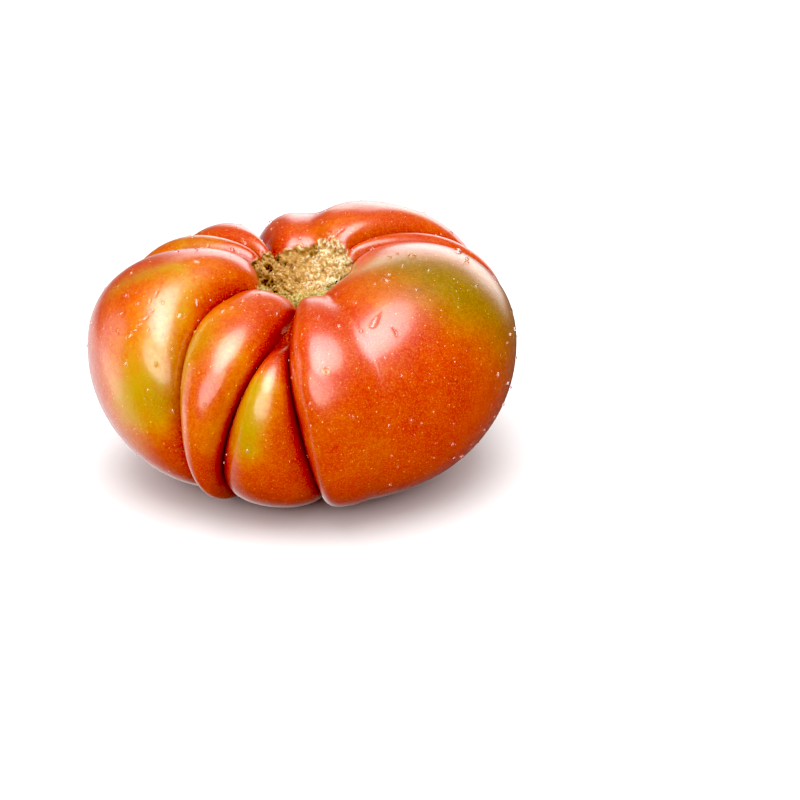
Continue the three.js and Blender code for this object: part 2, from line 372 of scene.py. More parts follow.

# %% [markdown]
# Where the cork lies
#
# Cork covers the basin out to the noses of the lobes, a little further at the back and the front left,
# and its edge is ragged. A mask from 0 to 1 holds that, and both the relief and the colours use it. Torn
# cork is made of three sizes: crags from a ridged noise, chunks with cracks between them from the cells of
# a Voronoi pattern, and a fine grain. They lift the points along the skin's own direction, because a
# lift straight up would draw long hairs on the steep walls. How high each point stands is kept as crag,
# and the material paints the cork darker where it is low and paler where it is high: partly the cork's own
# colour, partly painted shade in the cracks.

# %% Cork mask and fine cork relief
CORK_EDGE = 0.52
CORK_BACK_REACH = 0.10
CORK_BACK_WAY = math.radians(75)
CORK_FRONT_REACH = 0.06
CORK_FRONT_WAY = math.radians(235)
CORK_RAGGED = 0.07
CORK_LIMIT = 0.75
FADE_OUTER = 0.02
FADE_INNER = 0.03
RAGGED_SIZE = 2.0
ROUGHEN = (0.6, 2.0)
CRAG_SIZE = 4.2
CRAG_HEIGHT = 1.0
CRAG_LEVEL = 1.2
CRAG_NOISE = (0.9, 2.1, 5, 1.0, 2.0)
CRAG_SPAN = (0.5, 2.0)
CHUNK_SIZE = 2.6
CHUNK_CRACK = 0.30
CHUNK_HEIGHT = 0.60
CHUNK_LEVEL = 0.7
CHUNK_BEND = 1.6
BEND_SIZE = 1.4
GRAIN_SIZE = 1.0
GRAIN_HEIGHT = 0.35
CHUNK_TONE = 0.4
CRAG_TOP_TONE = 0.35
GRAIN_TONE = 0.5
LEAST_TONE = 0.2

cork_mask = np.zeros_like(sunk_of)
crag_tone_and_shade = np.zeros_like(sunk_of)
lift = np.zeros_like(sunk_of)
for row in range(int(np.searchsorted(stations, CORK_LIMIT))):
    for line in range(lines):
        spot = Vector(points[row, line])
        turn = turns_of[row, line]
        ragged = CORK_RAGGED * noise.fractal(spot / RAGGED_SIZE, *ROUGHEN, 4)
        edge = CORK_EDGE + CORK_BACK_REACH * max(math.cos(turn - CORK_BACK_WAY), 0) + ragged
        edge += CORK_FRONT_REACH * max(math.cos(turn - CORK_FRONT_WAY), 0)
        mask = float(ease(edge + FADE_OUTER, edge - FADE_INNER, stations[row]))
        cork_mask[row, line] = mask
        if mask > 0:
            crag = noise.ridged_multi_fractal(spot / CRAG_SIZE, *CRAG_NOISE)
            grain = noise.fractal(spot / GRAIN_SIZE, *ROUGHEN, 3)
            bent = spot + CHUNK_BEND * noise.noise_vector(spot / BEND_SIZE)
            distances, _ = noise.voronoi(bent / CHUNK_SIZE)
            chunk = min((distances[1] - distances[0]) / CHUNK_CRACK, 1)
            lift[row, line] = mask * (CRAG_HEIGHT * (crag - CRAG_LEVEL)
                                      + CHUNK_HEIGHT * (chunk - CHUNK_LEVEL) + GRAIN_HEIGHT * grain)
            # Cracks and low places get a darker tone and crags a paler one: partly the cork's own colour,
            # partly painted shade.
            high = float(share(*CRAG_SPAN, crag))
            raised = CHUNK_TONE * chunk + CRAG_TOP_TONE * high + LEAST_TONE
            crag_tone_and_shade[row, line] = raised + GRAIN_TONE * grain
around_ring = np.roll(points, -1, axis=1) - np.roll(points, 1, axis=1)
down_line = np.gradient(points, axis=0)
outward = np.cross(down_line, around_ring)
outward /= np.linalg.norm(outward, axis=-1, keepdims=True)
points += outward * lift[..., None]
points[..., 2] = np.maximum(points[..., 2], 0)
print("cork covers", int((cork_mask > 0.5).sum()), "grid points")

# %% [markdown]
# The skin as a mesh
#
# The grid closes on itself round the fruit, with one point at each end. It is centred as the plain
# solid is, then scaled to metres.

# %% Build the mesh
top = np.array([[0, 0, SCAR_HEIGHT]])
bottom = np.array([[0, 0, BLOSSOM_HEIGHT]])
vertices = np.concatenate([top, points.reshape(-1, 3), bottom])
middle = (vertices.min(axis=0) + vertices.max(axis=0)) / 2
middle[2] = 0
vertices = (vertices - middle) * MM


def vertex(row, line):
    """Number of the vertex at a row and line. The line after the last is the first again."""
    return 1 + row * lines + line % lines


faces = []
for line in range(lines):
    faces.append((0, vertex(0, line), vertex(0, line + 1)))
    faces.append((vertex(rows - 1, line), len(vertices) - 1, vertex(rows - 1, line + 1)))
    for row in range(rows - 1):
        faces.append((vertex(row, line), vertex(row + 1, line),
                      vertex(row + 1, line + 1), vertex(row, line + 1)))

skin, skin_mesh = add_mesh("tomato_skin", vertices.tolist(), faces)
skin_mesh.shade_smooth()
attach(skin, "root")
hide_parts("tomato")
skin_tree = BVHTree.FromPolygons([Vector(v) for v in vertices], faces)
print("skin has", len(vertices), "vertices, and is closed and centred on", middle.round(2))

# %% [markdown]
# The camera
#
# The camera looks down at about 22 degrees, from far enough away for a flat perspective. It comes before
# the colours and the drops, because their places were read off the photograph and are found on the skin
# along the camera's lines of sight. Whatever is placed this way lies on the skin, so it is right from
# every side.

# %% Camera and lines of sight
VIEW_HEIGHT = math.radians(22)
VIEW_DISTANCE = 0.600
FOCAL_LENGTH = 94
SENSOR = 36
FRAME_SIZE = 800
MIDDLE_HEIGHT = 0.036
MIDDLE_IN_PHOTO = (304, 342)

focus = Vector((0, 0, MIDDLE_HEIGHT))
toward_camera = Vector((0, -math.cos(VIEW_HEIGHT), math.sin(VIEW_HEIGHT)))
frame_up = Vector((0, math.sin(VIEW_HEIGHT), math.cos(VIEW_HEIGHT)))
pixel = VIEW_DISTANCE * SENSOR / FOCAL_LENGTH / FRAME_SIZE
aim = focus + Vector((1, 0, 0)) * (FRAME_SIZE / 2 - MIDDLE_IN_PHOTO[0]) * pixel
aim -= frame_up * (FRAME_SIZE / 2 - MIDDLE_IN_PHOTO[1]) * pixel

camera = add_object("camera", bpy.data.cameras.new("camera"))
camera.data.lens = FOCAL_LENGTH
camera.data.sensor_width = SENSOR
camera.location = focus + toward_camera * VIEW_DISTANCE
camera.rotation_euler = (aim - camera.location).to_track_quat("-Z", "Y").to_euler()
bpy.context.scene.camera = camera


def skin_at(photo_x, photo_y):
    """The point and outward direction of the skin that shows at a place of the photograph."""
    side = (photo_x - FRAME_SIZE / 2) / FRAME_SIZE * SENSOR
    up = (FRAME_SIZE / 2 - photo_y) / FRAME_SIZE * SENSOR
    sight = camera.rotation_euler.to_matrix() @ Vector((side, up, -FOCAL_LENGTH))
    point, outward, _, _ = skin_tree.ray_cast(camera.location, sight.normalized())
    if point is None:
        raise ValueError(f"no skin at {photo_x}, {photo_y}")
    return point, outward


print("the frame's middle shows the skin at", skin_at(*MIDDLE_IN_PHOTO)[0])

# %% [markdown]
# Ripeness
#
# A tomato of this kind ripens unevenly: the shoulders that lie in shade stay olive green, with orange
# round them, while the rest turns red. Painting by hand on the mesh would work too, but a list of soft
# patches is easier to correct. A patch that shows is given by the two ends of its middle line in the
# photograph, and one on the hidden side by lobe, place across and station. Then follow its width in
# millimetres, how far it lowers the ripeness and how much dull olive it lays over that.

# %% Ripeness of every point
SHOWN_PATCHES = [
    ((182, 312), (140, 405), 13, 0.60, 0),
    ((160, 365), (146, 392), 7, 0.30, 0),
    ((194, 345), (172, 400), 7, 0.20, 0.35),
    ((122, 285), (172, 268), 6, 0.40, 0.15),
    ((205, 262), (236, 270), 9, 0.16, 0),
    ((104, 350), (125, 420), 9, 0.12, 0),
    ((230, 350), (205, 450), 6, 0.28, 0),
    ((258, 388), (246, 445), 6, 0.70, 0.15),
    ((358, 268), (400, 264), 7, 0.34, 0.20),
    ((415, 264), (490, 304), 13, 0.30, 0.66),
    ((445, 276), (464, 290), 8, 0.55, 0.45),
    ((428, 290), (450, 308), 8, 0.25, 0.35),
    ((310, 420), (370, 455), 12, 0.16, 0),
    ((365, 288), (385, 300), 6, 0.20, 0),
    ((184, 243), (208, 243), 6, 0.35, 0.20),
    ((318, 232), (350, 236), 8, 0.20, 0),
]
HIDDEN_PATCHES = [
    ("right", 0.3, 1.7, 20, 0.25, 0.45),
    ("back", 0.3, 1.6, 18, 0.45, 0.30),
    ("middle", 0.2, 1.8, 14, 0.30, 0.10),
    ("rear", -0.1, 1.7, 14, 0.50, 0.25),
    ("back_left", 0.1, 1.6, 12, 0.40, 0.10),
]
flat_points = vertices / MM


def spot_at(photo_place):
    """The point of the skin at a place of the photograph, in millimetres."""
    return np.array(skin_at(*photo_place)[0]) / MM


patches = [(spot_at(start), spot_at(end), *rest) for start, end, *rest in SHOWN_PATCHES]
for name, across, station, *rest in HIDDEN_PATCHES:
    spot = place(name, across, station)[0] - middle
    patches.append((spot, spot + (0, 0, MM), *rest))
ripeness = np.ones(len(vertices))
fresh = np.ones(len(vertices))
for start, end, width, green, dull in patches:
    along = np.clip((flat_points - start) @ (end - start) / np.sum((end - start) ** 2), 0, 1)
    nearest = start + along[:, None] * (end - start)
    strength = np.exp(-(np.linalg.norm(flat_points - nearest, axis=1) / width) ** 2)
    ripeness *= 1 - green * strength
    fresh *= 1 - dull * strength
olive = 1 - fresh
print(len(patches), "patches")

# %% [markdown]
# A scab
#
# The front lobe carries one small scab, where the skin once split and healed. Its place and fading size
# are kept as a mask, and the material makes its torn edge.

# %% Scab
SCAB_IN_PHOTO = (326, 371)
SCAB_RADIUS = 2.0
from_scab = np.linalg.norm(flat_points - spot_at(SCAB_IN_PHOTO), axis=1)
scab = np.exp(-(from_scab / SCAB_RADIUS) ** 2)

# %% [markdown]
# Masks on the mesh
#
# A material can't know where on the fruit it is, so the masks are written on the mesh as attributes, which
# it reads by name. Crease is 1 at the bottom of a crease and 0 on a crest, where the skin is stretched.
# The material uses it to paint the creases a deeper red, partly riper skin and partly painted shade.

# %% Attributes


def with_ends(values, top_value, bottom_value):
    """One value for each vertex, from a grid of values and the two ends."""
    return np.concatenate([[top_value], values.reshape(-1), [bottom_value]])


def add_mask(name, values):
    """Write one number for each vertex on the skin."""
    attribute = skin_mesh.attributes.new(name, "FLOAT", "POINT")
    attribute.data.foreach_set("value", values.astype(np.float32))


crease_mask = np.where(stations[:, None] > NOSE, sunk_of, 0)
add_mask("ripeness", ripeness)
add_mask("olive", olive)
add_mask("scab", scab)
add_mask("cork", with_ends(cork_mask, 1, 0))
add_mask("crag", with_ends(crag_tone_and_shade, 0.5, 0))
add_mask("crease", with_ends(crease_mask, 0, 0))
print("ripeness runs from", round(float(ripeness.min()), 2), "to", round(float(ripeness.max()), 2))

# %% [markdown]
# Node helpers
#
# A shader is easier to read when each node is made by one call that says what goes into it.

# %% Node helpers


def add_node(tree, kind, inputs=None, **settings):
    """Add a node, set its properties, and set or link its inputs by name or number."""
    node = tree.nodes.new(kind)
    for name, value in settings.items():
        setattr(node, name, value)
    for name, value in (inputs or {}).items():
        socket = node.inputs[name]
        if isinstance(value, bpy.types.NodeSocket):
            tree.links.new(value, socket)
        else:
            socket.default_value = value
    return node


def add_ramp(tree, value, stops):
    """A colour ramp with its stops given as place and colour."""
    node = add_node(tree, "ShaderNodeValToRGB", {"Fac": value})
    elements = node.color_ramp.elements
    while len(elements) < len(stops):
        elements.new(0.5)
    for element, (position, colour) in zip(elements, stops):
        element.position = position
        element.color = (*colour, 1)
    return node.outputs["Color"]


def blend(tree, amount, first, second):
    """Mix two colours. A mix node's first colour is its input 6 and the second its input 7."""
    inputs = {0: amount, 6: first, 7: second}
    return add_node(tree, "ShaderNodeMix", inputs, data_type="RGBA").outputs[2]


def blend_values(tree, amount, first, second):
    """Mix two numbers, which are a mix node's inputs 2 and 3."""
    return add_node(tree, "ShaderNodeMix", {0: amount, 2: first, 3: second}).outputs[0]


def math_node(tree, operation, *values):
    """The result of one sum on up to three values."""
    node = add_node(tree, "ShaderNodeMath", dict(enumerate(values)), operation=operation)
    return node.outputs[0]


def add_noise(tree, vector, scale, detail, roughness=0.5):
    """A soft noise. scale is its number of blots per unit, and detail its number of finer layers."""
    node = add_node(tree, "ShaderNodeTexNoise", {
        "Vector": vector, "Scale": scale, "Detail": detail, "Roughness": roughness})
    return node.outputs["Fac"]


def map_range(tree, value, start, end, low=0.0, high=1.0):
    """Value eased from the range start..end to the range low..high."""
    inputs = {"Value": value, "From Min": start, "From Max": end, "To Min": low, "To Max": high}
    node = add_node(tree, "ShaderNodeMapRange", inputs, interpolation_type="SMOOTHSTEP")
    return node.outputs["Result"]


def new_group(name, numbers, outputs):
    """An empty shader group that is given a vector and numbers, with the sockets at its two ends."""
    group = bpy.data.node_groups.new(name, "ShaderNodeTree")
    group.interface.new_socket("Vector", in_out="INPUT", socket_type="NodeSocketVector")
    for socket_name, value in numbers.items():
        socket = group.interface.new_socket(socket_name, in_out="INPUT", socket_type=FLOAT)
        socket.default_value = value
    for socket_name, kind in outputs.items():
        group.interface.new_socket(socket_name, in_out="OUTPUT", socket_type=kind)
    given = group.nodes.new("NodeGroupInput").outputs
    result = group.nodes.new("NodeGroupOutput").inputs
    return group, given, result


FLOAT = "NodeSocketFloat"
COLOUR = "NodeSocketColor"

# %% [markdown]
# Golden specks
#
# Ripe skin is full of specks finer than a grain of salt, where wax cells catch the light. A noise
# texture gives soft clouds, which look wrong here. Voronoi cells give one dot each, and a chance for
# each cell leaves some of them out, so that the dots don't line up.

# %% Speck group
RAGGED_SCALE = 5.0
RAGGEDNESS = 0.25
RAGGED_MIDDLE = 0.12
DOT_CORE = 0.02
FAINTEST = 0.4

specks, given, result = new_group(
    "Golden specks", {"Per Millimetre": 1.0, "Dot Size": 0.3, "Kept": 0.5}, {"Mask": FLOAT})
cells = add_node(specks, "ShaderNodeTexVoronoi", {
    "Vector": given["Vector"], "Scale": given["Per Millimetre"]})
ragged = add_noise(specks, given["Vector"], RAGGED_SCALE, 1.0)
wobble = math_node(specks, "MULTIPLY_ADD", ragged, RAGGEDNESS, -RAGGED_MIDDLE)
distance = math_node(specks, "ADD", cells.outputs["Distance"], wobble)
dot = map_range(specks, distance, given["Dot Size"], DOT_CORE)
draw = add_node(specks, "ShaderNodeSeparateColor", {"Color": cells.outputs["Color"]})
kept = math_node(specks, "LESS_THAN", draw.outputs[0], given["Kept"])
brightness = math_node(specks, "MULTIPLY_ADD", draw.outputs[1], 1 - FAINTEST, FAINTEST)
strength = math_node(specks, "MULTIPLY", dot, brightness)
mask = math_node(specks, "MULTIPLY", strength, kept)
specks.links.new(mask, result["Mask"])

# %% [markdown]
# Ripening colours
#
# Yellow-green turns to gold, then orange, then red. The colours sit on one ramp, read by ripeness, with
# a mottle so that the zones don't end in clean lines. The dull olive of the shoulders isn't on the way
# from green to red, so it has a mask of its own and is laid over the ramp.

# %% Ripening group
YELLOW_GREEN = (0.40, 0.245, 0.004)
GOLD = (0.46, 0.180, 0.004)
ORANGE = (0.48, 0.100, 0.003)
ORANGE_RED = (0.45, 0.050, 0.004)
RED = (0.42, 0.024, 0.005)
# DEEP_RED is reached mostly in the creases, where it is partly painted shade.
DEEP_RED = (0.27, 0.005, 0.002)
OLIVE = (0.15, 0.080, 0.001)
RIPE_STOPS = [(0.22, YELLOW_GREEN), (0.36, GOLD), (0.50, ORANGE), (0.62, ORANGE_RED), (0.76, RED),
              (1.0, DEEP_RED)]
RIPE_SPAN = 1.4
CLOUD_SCALE = 0.11
FINE_CLOUD_SCALE = 0.9
OLIVE_SPREAD = 0.5

ripening, given, result = new_group(
    "Ripening colours", {"Ripeness": 1.0, "Olive": 0.0, "Mottle": 0.15}, {"Color": COLOUR})
clouds = add_noise(ripening, given["Vector"], CLOUD_SCALE, 4.0, 0.55)
fine_clouds = add_noise(ripening, given["Vector"], FINE_CLOUD_SCALE, 3.0, 0.6)
both = math_node(ripening, "ADD", clouds, fine_clouds)
centred = math_node(ripening, "SUBTRACT", both, 1.0)
mottled = math_node(ripening, "MULTIPLY_ADD", centred, given["Mottle"], given["Ripeness"])
along_ramp = math_node(ripening, "DIVIDE", mottled, RIPE_SPAN)
ramp = add_ramp(ripening, along_ramp, RIPE_STOPS)
olive_cloud = math_node(ripening, "MULTIPLY_ADD", centred, given["Mottle"], given["Olive"])
olive_share = math_node(ripening, "MULTIPLY", olive_cloud, given["Olive"])
olive_share = math_node(ripening, "POWER", olive_share, OLIVE_SPREAD)
toned = blend(ripening, olive_share, ramp, (*OLIVE, 1))
ripening.links.new(toned, result["Color"])

# %% [markdown]
# Cork
#
# The scar is dry, torn tissue: brown in its cracks, golden on its ridges, pale cream toward its right and
# greenish where the flesh still shows through. Its colours follow the relief, so the cracks are painted
# dark and the chunks and crags pale, partly the cork's own colour and partly painted shade in the hollows.
# The scar is also painted darker on its left and paler on its right, partly painted shade on the basin's
# left wall and painted light on its right wall, and a noise breaks them up.

# %% Cork group
# The crack colour is the cork's brown darkened further, partly painted shade in the cracks.
CORK_CRACK_AND_SHADE = (0.110, 0.050, 0.015)
CORK_BROWN = (0.44, 0.220, 0.070)
CORK_TAN = (0.52, 0.290, 0.085)
CORK_GOLD = (0.60, 0.345, 0.105)
CORK_CREAM = (0.88, 0.740, 0.480)
CORK_GREEN = (0.48, 0.430, 0.130)
CORK_STOPS = [(0.46, CORK_CRACK_AND_SHADE), (0.58, CORK_BROWN), (0.70, CORK_TAN), (0.82, CORK_GOLD),
              (0.96, CORK_CREAM)]
CRUMB_SCALE = 1.2
ZONE_SCALE = 0.25
CRAG_TONE = 0.40
CRUMB_TONE = 0.80
ZONE_TONE = 0.30
# Darker on the left, paler on the right: painted shade on the basin's left wall, painted light on its
# right.
SIDE_TONE_AND_SHADE_X = (-10.0, 9.0)
SIDE_TONE_AND_SHADE = (-0.15, 0.05)
GREEN_Y = (4.0, -4.0)
GREEN_TONES = (0.58, 0.74)
GREEN_MOST = 0.75

scar, given, result = new_group(
    "Cork", {"Crag": 0.5}, {"Color": COLOUR, "Height": FLOAT})
crumbs = add_noise(scar, given["Vector"], CRUMB_SCALE, 6.0, 0.75)
zones = add_noise(scar, given["Vector"], ZONE_SCALE, 2.0)
place_of = add_node(scar, "ShaderNodeSeparateXYZ", {"Vector": given["Vector"]})
# Painted shade on the scar's left and painted light on its right, over the cork's own colour.
side = map_range(scar, place_of.outputs["X"], *SIDE_TONE_AND_SHADE_X, *SIDE_TONE_AND_SHADE)
# Low places darker and crags paler: partly painted shade in the cork's hollows.
tone = math_node(scar, "MULTIPLY_ADD", given["Crag"], CRAG_TONE, side)
tone = math_node(scar, "MULTIPLY_ADD", crumbs, CRUMB_TONE, tone)
tone = math_node(scar, "MULTIPLY_ADD", zones, ZONE_TONE, tone)
cork_colour = add_ramp(scar, tone, CORK_STOPS)
near = map_range(scar, place_of.outputs["Y"], *GREEN_Y)
patchy = map_range(scar, tone, *GREEN_TONES)
green_share = math_node(scar, "MULTIPLY", near, patchy)
green_share = math_node(scar, "MULTIPLY", green_share, GREEN_MOST)
cork_colour = blend(scar, green_share, cork_colour, (*CORK_GREEN, 1))
scar.links.new(cork_colour, result["Color"])
scar.links.new(crumbs, result["Height"])

# %% [markdown]
# The skin's material
#
# Tomato skin is a thin clear wax film over coloured flesh. Light goes a few millimetres into the flesh
# and comes out redder, which subsurface scattering does, and the film gives a sharp reflection over a
# softer one, which a clear coat does. Cork and the scab are rough and dull, so their masks take the film
# away, and so does the mask of wet spots, because skin under water has no gloss of its own. Specks, scab
# and cork also have a little height, in millimetres, which a bump turns into shading. The textures read
# the object's own coordinates in millimetres, so each says its size per millimetre.

# %% Tomato skin material


def new_material(mesh, name, inputs):
    """A material on a mesh, with the inputs that no texture drives. Gives its tree and shader."""
    material = bpy.data.materials.new(name)
    material.use_nodes = True
    mesh.materials.append(material)
    shader = material.node_tree.nodes["Principled BSDF"]
    for socket, value in inputs.items():
        shader.inputs[socket].default_value = value
    return material.node_tree, shader


def add_group(tree, group, inputs):
    """Place a group in a material with its own values."""
    return add_node(tree, "ShaderNodeGroup", inputs, node_tree=group)


def read_attribute(tree, name):
    """The value of a mask that was written on the mesh."""
    return add_node(tree, "ShaderNodeAttribute", attribute_name=name).outputs["Fac"]


MOTTLE = 0.5
# Creases are painted a deeper red: partly riper skin, partly painted shade.
CREASE_SPAN = (0.3, 1.0)
RIPENESS_AND_SHADE_IN_CREASE = 0.5
STIPPLE_GOLD = (0.62, 0.22, 0.02)
STIPPLE_DOTS = {"Per Millimetre": 2.2, "Dot Size": 0.70, "Kept": 0.8}
STIPPLE_SHARE = 0.52
FRECKLE_GOLD = (0.85, 0.50, 0.12)
FRECKLE_DOTS = {"Per Millimetre": 0.65, "Dot Size": 0.19, "Kept": 0.45}
SCAB_RED = (0.40, 0.060, 0.020)
SCAB_CREAM = (0.62, 0.360, 0.220)
SCAB_STOPS = [(0.44, SCAB_RED), (0.54, SCAB_CREAM)]
SCAB_NOISE = (1.6, 4.0)
SCAB_TEAR = 1.2
SCAB_EDGE = (1.22, 1.34)
WAX_NOISE = (0.4, 4.0)
WAX_SPAN = (0.3, 0.7)
PEEL_NOISE = (1.4, 2.0)
SKIN_ROUGH = (0.30, 0.40)
CORK_ROUGH = 0.8
FILM = 0.9
PEEL_HEIGHT = 0.028
STIPPLE_HEIGHT = 0.026
SCAB_HEIGHT = 0.15
CORK_BUMP = 0.8

tree, shader = new_material(skin_mesh, "tomato_skin", {
    "Subsurface Weight": 0.2, "Subsurface Radius": (1.0, 0.25, 0.08), "Subsurface Scale": 0.004,
    "Specular IOR Level": 0.2, "Coat Roughness": 0.20, "Coat IOR": 1.62, "IOR": 1.52})
coordinates = add_node(tree, "ShaderNodeTexCoord")
position = add_node(tree, "ShaderNodeVectorMath", {
    0: coordinates.outputs["Object"], "Scale": 1 / MM}, operation="SCALE").outputs[0]
cork_share = read_attribute(tree, "cork")
crease_share = read_attribute(tree, "crease")
ripe = read_attribute(tree, "ripeness")

# Painted shade in the creases: the crease mask pushes the skin toward deep red.
crease_ripeness_and_shade = map_range(tree, crease_share, *CREASE_SPAN, 0.0, RIPENESS_AND_SHADE_IN_CREASE)
ripeness_and_crease_shade = math_node(tree, "ADD", ripe, crease_ripeness_and_shade)
flesh = add_group(tree, ripening, {
    "Vector": position, "Ripeness": ripeness_and_crease_shade, "Olive": read_attribute(tree, "olive"),
    "Mottle": MOTTLE}).outputs["Color"]
stipple = add_group(tree, specks, {"Vector": position, **STIPPLE_DOTS}).outputs["Mask"]
freckles = add_group(tree, specks, {"Vector": position, **FRECKLE_DOTS}).outputs["Mask"]
stipple_share = math_node(tree, "MULTIPLY", stipple, STIPPLE_SHARE)
speckled = blend(tree, stipple_share, flesh, (*STIPPLE_GOLD, 1))
speckled = blend(tree, freckles, speckled, (*FRECKLE_GOLD, 1))
cork = add_group(tree, scar, {"Vector": position, "Crag": read_attribute(tree, "crag")})
colour = blend(tree, cork_share, speckled, cork.outputs["Color"])
torn = add_noise(tree, position, *SCAB_NOISE)
torn_scab = math_node(tree, "MULTIPLY_ADD", torn, SCAB_TEAR, read_attribute(tree, "scab"))
scab_share = map_range(tree, torn_scab, *SCAB_EDGE)
scab_colour = add_ramp(tree, torn, SCAB_STOPS)
colour = blend(tree, scab_share, colour, scab_colour)
dull = math_node(tree, "MAXIMUM", cork_share, scab_share)
tree.links.new(colour, shader.inputs["Base Color"])

wax = add_noise(tree, position, *WAX_NOISE)
skin_rough = map_range(tree, wax, *WAX_SPAN, *SKIN_ROUGH)
roughness = blend_values(tree, dull, skin_rough, CORK_ROUGH)
tree.links.new(roughness, shader.inputs["Roughness"])
covered = math_node(tree, "MAXIMUM", dull, read_attribute(tree, "wet"))
film = math_node(tree, "MULTIPLY_ADD", covered, -FILM, FILM)
tree.links.new(film, shader.inputs["Coat Weight"])

peel = add_noise(tree, position, *PEEL_NOISE)
peel_height = math_node(tree, "MULTIPLY", peel, PEEL_HEIGHT)
skin_height = math_node(tree, "MULTIPLY_ADD", stipple, STIPPLE_HEIGHT, peel_height)
skin_height = math_node(tree, "MULTIPLY_ADD", scab_share, SCAB_HEIGHT, skin_height)
cork_height = math_node(tree, "MULTIPLY", cork.outputs["Height"], CORK_BUMP)
height = blend_values(tree, cork_share, skin_height, cork_height)
bump = add_node(tree, "ShaderNodeBump", {"Height": height, "Strength": 1.0, "Distance": MM})
tree.links.new(bump.outputs["Normal"], shader.inputs["Normal"])
print("skin material has", len(tree.nodes), "nodes")

# %% [markdown]
# Drops of water
#
# The fruit has been washed. A drop is a low dome, and where it runs down its upper end draws to a point.
# Metaballs would merge well but can't be placed exactly, and a texture has no rim that bends light, so
# each drop is a small mesh of rings. Its edge is laid on the skin and sunk a little, which closes it
# against the skin from every side. All drops are one piece.

# %% Drop builder
DROP_RINGS = 7
DROP_SIDES = 20
EDGE_SUNK = 0.06 * MM
DOME_POWER = 1.2
LEVEL = 1e-4
drop_vertices = []
drop_faces = []


def add_drop(point, outward, width, length, height, lean=0.0, tail=0.0,
             sides=DROP_SIDES, rings=DROP_RINGS):
    """A dome on the skin. length runs downhill, turned by lean, and tail draws its upper end to a point.

    Gives back its directions downhill and sideways.
    """
    down = Vector((0, 0, -1))
    downhill = down - outward * outward.dot(down)
    if downhill.length < LEVEL:
        downhill = Vector((0, -1, 0))
    downhill = Matrix.Rotation(lean, 3, outward) @ downhill.normalized()
    sideways = outward.cross(downhill)
    first = len(drop_vertices)
    for ring in range(1, rings + 1):
        t = ring / rings
        rise = math.sqrt(max(1 - t * t, 0)) ** DOME_POWER
        for step in range(sides):
            turn = 2 * math.pi * step / sides
            along = math.cos(turn)
            narrowed = ((1 + along) / 2) ** tail
            offset = downhill * along * length / 2 * t
            offset += sideways * math.sin(turn) * width / 2 * t * narrowed
            ground, normal, _, _ = skin_tree.find_nearest(point + offset)
            domed = rise * height * mix(1, narrowed, t)
            drop_vertices.append(ground + normal * (domed - EDGE_SUNK * (1 - rise)))
    apex = len(drop_vertices)
    drop_vertices.append(point + outward * height)
    under = len(drop_vertices)
    drop_vertices.append(point - outward * EDGE_SUNK * 3)
    for step in range(sides):
        after = (step + 1) % sides
        drop_faces.append((apex, first + step, first + after))
        for ring in range(rings - 1):
            here = first + ring * sides
            drop_faces.append((here + step, here + sides + step, here + sides + after, here + after))
        last = first + (rings - 1) * sides
        drop_faces.append((under, last + after, last + step))
    return np.array(downhill), np.array(sideways)


# %% [markdown]
# The drops in the photograph
#
# The larger drops are placed by the photograph. Each row gives the place in it across and down, then
# width, length and height in millimetres, and lean and tail where they aren't 0. Skin under a drop
# mirrors next to nothing, which is why a drop looks dark inside a highlight, so the skin under them is
# kept as a mask. It is measured on the drop's own outline, where 0 is the middle and 1 the edge.

